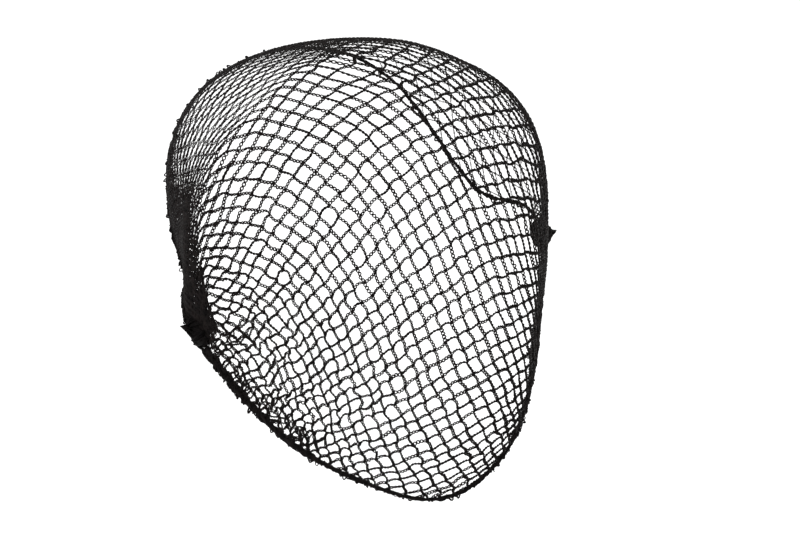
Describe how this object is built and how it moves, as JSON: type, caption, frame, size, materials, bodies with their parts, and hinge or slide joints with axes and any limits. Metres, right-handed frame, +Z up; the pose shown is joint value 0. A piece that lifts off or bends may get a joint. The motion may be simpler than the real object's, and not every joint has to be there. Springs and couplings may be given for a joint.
{
  "type": "hairnet",
  "caption": "Black open-mesh hairnet at its worn shape: a thin net cap over a head form, gathered in a round elastic edge and tied off over each ear.",
  "frame": {"origin": "underside of the net at the crown, where it rests on the top of the head", "axes": "+Z up through the crown, the wearer faces -Y so +Y runs to the nape, +X is the wearer's left"},
  "size_m": [0.1794, 0.1719, 0.1641],
  "materials": {
    "netting": "matt black knitted thread, open mesh",
    "elastic": "matt black thread gathered over elastic, fuzzy",
    "gathered_net": "matt black bunched and knotted thread"
  },
  "bodies": {
    "root": {"net_cap": "netting", "nape_band": "elastic", "brow_band": "elastic", "left_gather": "gathered_net", "right_gather": "gathered_net"}
  },
  "joints": []
}
